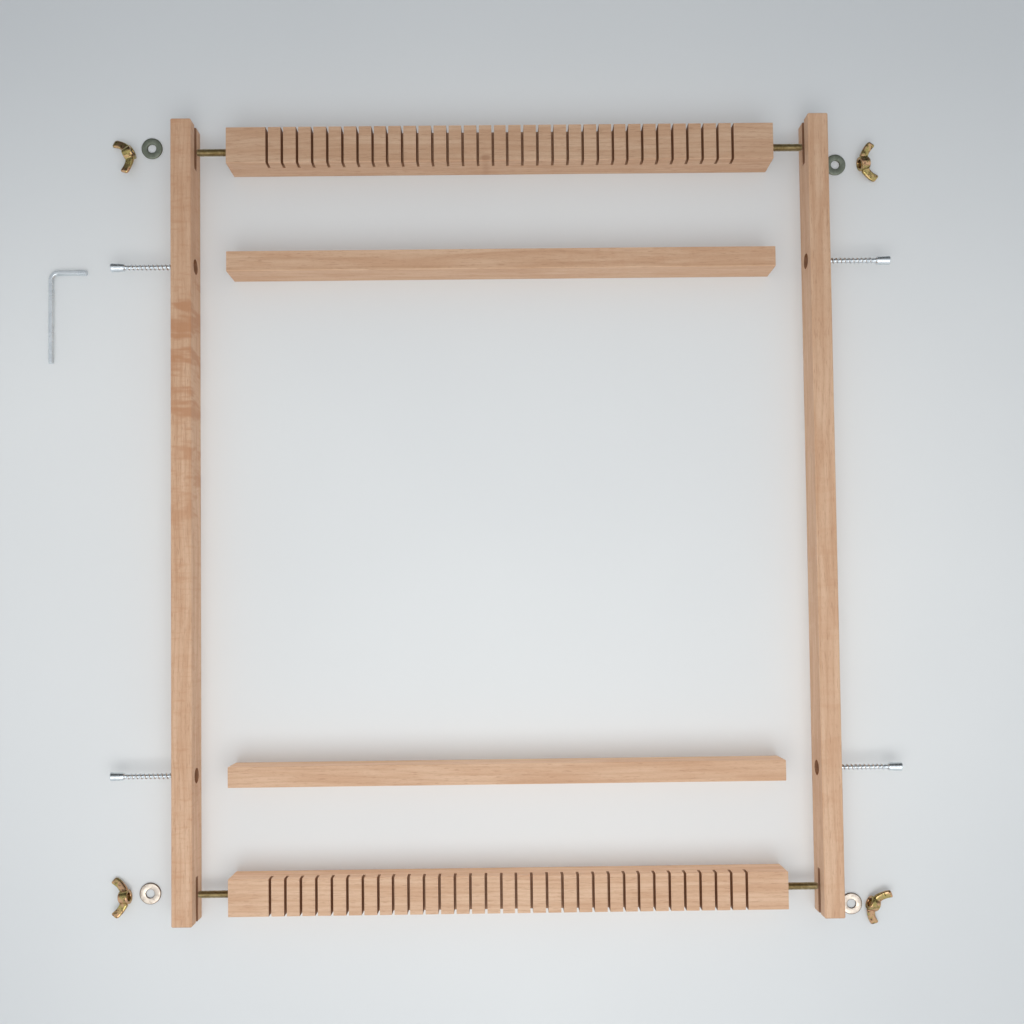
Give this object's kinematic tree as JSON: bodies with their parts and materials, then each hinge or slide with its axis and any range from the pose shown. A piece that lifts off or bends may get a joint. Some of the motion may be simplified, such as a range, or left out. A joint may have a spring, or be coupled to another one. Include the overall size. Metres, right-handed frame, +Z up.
{
  "type": "tapestry loom",
  "caption": "Beech tapestry loom laid out for assembly: side rails with forked ends, slotted warp beams on bolts, plain cross bars and loose hardware.",
  "frame": {"origin": "middle of the laid-out kit's footprint, on the table top", "axes": "+X across the loom, along its beams; +Y along its rails, towards its upper end; +Z up"},
  "size_m": [0.6813, 0.648, 0.029],
  "materials": {
    "beech_rails": "sanded, unvarnished beech",
    "beech_beams": "sanded, unvarnished beech",
    "beech_bars": "sanded, unvarnished beech",
    "yellow_zinc": "yellow passivated zinc plate",
    "bright_zinc": "bright zinc plate",
    "dull_zinc": "dull plated washer"
  },
  "bodies": {
    "cross_bars": {"upper_cross_bar": "beech_bars", "lower_cross_bar": "beech_bars"},
    "left_rail": {"left_rail": "beech_rails"},
    "right_rail": {"right_rail": "beech_rails"},
    "upper_hanger_bolts": {"upper_left_hanger_bolt": "yellow_zinc", "upper_right_hanger_bolt": "yellow_zinc"},
    "upper_warp_beam": {"upper_warp_beam": "beech_beams"},
    "lower_hanger_bolts": {"lower_left_hanger_bolt": "yellow_zinc", "lower_right_hanger_bolt": "yellow_zinc"},
    "lower_warp_beam": {"lower_warp_beam": "beech_beams"},
    "upper_left_screw": {"upper_left_screw": "bright_zinc"},
    "lower_left_screw": {"lower_left_screw": "bright_zinc"},
    "upper_right_screw": {"upper_right_screw": "bright_zinc"},
    "lower_right_screw": {"lower_right_screw": "bright_zinc"},
    "upper_left_washer": {"upper_left_washer": "dull_zinc"},
    "lower_left_washer": {"lower_left_washer": "bright_zinc"},
    "upper_right_washer": {"upper_right_washer": "dull_zinc"},
    "lower_right_washer": {"lower_right_washer": "bright_zinc"},
    "upper_left_wing_nut": {"upper_left_wing_nut": "yellow_zinc"},
    "lower_left_wing_nut": {"lower_left_wing_nut": "yellow_zinc"},
    "upper_right_wing_nut": {"upper_right_wing_nut": "yellow_zinc"},
    "lower_right_wing_nut": {"lower_right_wing_nut": "yellow_zinc"},
    "hex_key": {"hex_key": "bright_zinc"}
  },
  "joints": [
    {"name": "left_rail_close", "type": "slide", "parent": "cross_bars", "child": "left_rail", "axis": [1, 0, 0], "range_m": [0, 0.0277]},
    {"name": "right_rail_close", "type": "slide", "parent": "cross_bars", "child": "right_rail", "axis": [-1, 0, 0], "range_m": [0, 0.0277]},
    {"name": "upper_beam_slide", "type": "slide", "parent": "cross_bars", "child": "upper_hanger_bolts", "axis": [0, 1, 0], "range_m": [-0.0098, 0]},
    {"name": "upper_beam_turn", "type": "hinge", "parent": "upper_hanger_bolts", "child": "upper_warp_beam", "pos_m": [0.02765, 0.302, 0.0145], "axis": [1, 0, 0], "continuous": true},
    {"name": "lower_beam_slide", "type": "slide", "parent": "cross_bars", "child": "lower_hanger_bolts", "axis": [0, -1, 0], "range_m": [-0.0098, 0]},
    {"name": "lower_beam_turn", "type": "hinge", "parent": "lower_hanger_bolts", "child": "lower_warp_beam", "pos_m": [0.02765, -0.29, 0.0145], "axis": [1, 0, 0], "continuous": true},
    {"name": "upper_left_screw_drive", "type": "slide", "parent": "left_rail", "child": "upper_left_screw", "axis": [1, 0, 0], "range_m": [0, 0.0515]},
    {"name": "lower_left_screw_drive", "type": "slide", "parent": "left_rail", "child": "lower_left_screw", "axis": [1, 0, 0], "range_m": [0, 0.0515]},
    {"name": "upper_right_screw_drive", "type": "slide", "parent": "right_rail", "child": "upper_right_screw", "axis": [-1, 0, 0], "range_m": [0, 0.0515]},
    {"name": "lower_right_screw_drive", "type": "slide", "parent": "right_rail", "child": "lower_right_screw", "axis": [-1, 0, 0], "range_m": [0, 0.0515]},
    {"name": "upper_left_washer_fit", "type": "hinge", "parent": "left_rail", "child": "upper_left_washer", "pos_m": [-0.23884, 0.30772, -0.00309], "axis": [0.2491, 0.9359, 0.2491], "range_deg": [0, 93.79]},
    {"name": "lower_left_washer_fit", "type": "hinge", "parent": "left_rail", "child": "lower_left_washer", "pos_m": [-0.23993, -0.29139, -0.00418], "axis": [-0.0586, 0.9966, -0.0586], "range_deg": [0, 90.2]},
    {"name": "upper_right_washer_fit", "type": "hinge", "parent": "right_rail", "child": "upper_right_washer", "pos_m": [0.28966, 0.29768, 0.00139], "axis": [-0.3099, -0.8988, 0.3099], "range_deg": [0, 96.1]},
    {"name": "lower_right_washer_fit", "type": "hinge", "parent": "right_rail", "child": "lower_right_washer", "pos_m": [0.28968, -0.29863, 0.00137], "axis": [-0.4928, -0.7171, 0.4928], "range_deg": [0, 108.71]},
    {"name": "upper_left_wing_nut_fit", "type": "hinge", "parent": "left_rail", "child": "upper_left_wing_nut", "pos_m": [-0.25786, 0.22434, -0.02038], "axis": [0.2735, 0.3292, -0.9038], "range_deg": [0, 23.79]},
    {"name": "lower_left_wing_nut_fit", "type": "hinge", "parent": "left_rail", "child": "lower_left_wing_nut", "pos_m": [-0.19975, -0.4608, -0.167], "axis": [0.092, 0.7343, -0.6726], "range_deg": [0, 8.82]},
    {"name": "upper_right_wing_nut_fit", "type": "hinge", "parent": "right_rail", "child": "upper_right_wing_nut", "pos_m": [0.32218, 0.39897, -0.06041], "axis": [-0.3994, -0.4776, -0.7826], "range_deg": [0, 14.83]},
    {"name": "lower_right_wing_nut_fit", "type": "hinge", "parent": "right_rail", "child": "lower_right_wing_nut", "pos_m": [0.26604, -0.34924, 0.00057], "axis": [0.1541, -0.2881, 0.9451], "range_deg": [0, 26.08]},
    {"name": "hex_key_lift", "type": "slide", "parent": "upper_left_screw", "child": "hex_key", "axis": [0.8845, 0, 0.4665], "range_m": [0, 0.02679]}
  ]
}
